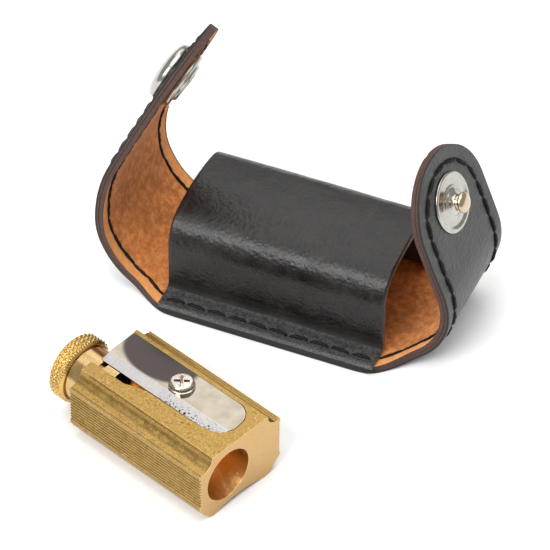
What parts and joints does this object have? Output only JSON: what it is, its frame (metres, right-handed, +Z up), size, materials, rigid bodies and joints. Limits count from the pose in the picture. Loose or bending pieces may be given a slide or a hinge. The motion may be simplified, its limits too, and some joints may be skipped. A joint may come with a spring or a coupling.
{
  "type": "pencil_sharpener_set",
  "caption": "Brass wedge pencil sharpener with a turning point adjuster, lying beside its open black leather snap case lined in suede",
  "frame": {"origin": "centre of the flat underside of the case, on the table", "axes": "X along the sleeve toward the flap that carries the stud, Y away from the sharpener, Z up"},
  "size_m": [0.0549, 0.0627, 0.0404],
  "materials": {
    "brass": "satin, drawn and milled, lightly handled",
    "turned_brass": "turned, bright",
    "blade_steel": "polished flat with a ground bevel",
    "nickel_screw": "bright nickel plate",
    "spring_wire": "bright wire",
    "snap_metal": "nickel plate",
    "black_leather": "fine grain, soft gloss",
    "suede_lining": "napped suede, mottled",
    "thread": "waxed twisted thread"
  },
  "bodies": {
    "case": {"base_leather": "black_leather", "base_lining": "suede_lining", "sleeve": "black_leather", "sleeve_front_stitching": "thread", "sleeve_back_stitching": "thread"},
    "right_flap_lower": {"right_lower_leather": "black_leather", "right_lower_lining": "suede_lining", "right_lower_stitching": "thread"},
    "right_flap_upper": {"right_upper_leather": "black_leather", "right_upper_lining": "suede_lining", "right_upper_stitching": "thread"},
    "right_flap_tab": {"right_tab_leather": "black_leather", "right_tab_lining": "suede_lining", "right_tab_stitching": "thread", "snap_stud": "snap_metal", "stud_rivet": "snap_metal"},
    "left_flap_lower": {"left_lower_leather": "black_leather", "left_lower_lining": "suede_lining", "left_lower_stitching": "thread"},
    "left_flap_upper": {"left_upper_leather": "black_leather", "left_upper_lining": "suede_lining", "left_upper_stitching": "thread"},
    "left_flap_tab": {"left_tab_leather": "black_leather", "left_tab_lining": "suede_lining", "left_tab_stitching": "thread", "snap_cap": "snap_metal", "snap_socket": "snap_metal", "socket_spring": "spring_wire"},
    "sharpener": {"sharpener_body": "brass", "blade": "blade_steel", "blade_screw": "nickel_screw", "retaining_screw": "turned_brass"},
    "adjuster": {"stop_barrel": "turned_brass", "adjuster_knob": "turned_brass"}
  },
  "joints": [
    {"name": "right_flap_bend", "type": "hinge", "parent": "case", "child": "right_flap_lower", "pos_m": [0.01697, 0.00004, 0.00061], "axis": [0, -1, 0], "range_deg": [-20, 55.98], "stiffness_Nm_per_rad": 0.004},
    {"name": "right_flap_curl", "type": "hinge", "parent": "right_flap_lower", "child": "right_flap_upper", "pos_m": [0.02238, 0.00052, 0.00304], "axis": [0, -1, 0], "range_deg": [-30.3, 11]},
    {"name": "right_tab_fold", "type": "hinge", "parent": "right_flap_upper", "child": "right_flap_tab", "pos_m": [0.02534, 0.0009, 0.01186], "axis": [-0.0348, -0.9953, 0.0904], "range_deg": [-15.3, 42.5]},
    {"name": "left_flap_bend", "type": "hinge", "parent": "case", "child": "left_flap_lower", "pos_m": [-0.01697, 0.00004, 0.00061], "axis": [0, 1, 0], "range_deg": [-20, 62.77], "stiffness_Nm_per_rad": 0.004},
    {"name": "left_flap_curl", "type": "hinge", "parent": "left_flap_lower", "child": "left_flap_upper", "pos_m": [-0.02378, 0.00064, 0.00353], "axis": [0, 1, 0], "range_deg": [-33.4, 10.8]},
    {"name": "left_tab_fold", "type": "hinge", "parent": "left_flap_upper", "child": "left_flap_tab", "pos_m": [-0.02696, 0.0009, 0.01263], "axis": [0.0278, 0.9957, 0.0886], "range_deg": [-11.4, 35.3]},
    {"name": "adjuster_turn", "type": "hinge", "parent": "sharpener", "child": "adjuster", "pos_m": [-0.01527, -0.03521, 0.00622], "axis": [0.9384, -0.3456, 0], "continuous": true},
    {"name": "sharpener_lift", "type": "slide", "parent": "case", "child": "sharpener", "axis": [0, 0, 1], "range_m": [0, 0.04]}
  ],
  "couplings": [
    {"joint": "right_flap_curl", "follows": "right_flap_bend", "ratio": -0.53626},
    {"joint": "right_tab_fold", "follows": "right_flap_bend", "ratio": 0.75422},
    {"joint": "left_flap_curl", "follows": "left_flap_bend", "ratio": -0.5278},
    {"joint": "left_tab_fold", "follows": "left_flap_bend", "ratio": 0.55762}
  ]
}
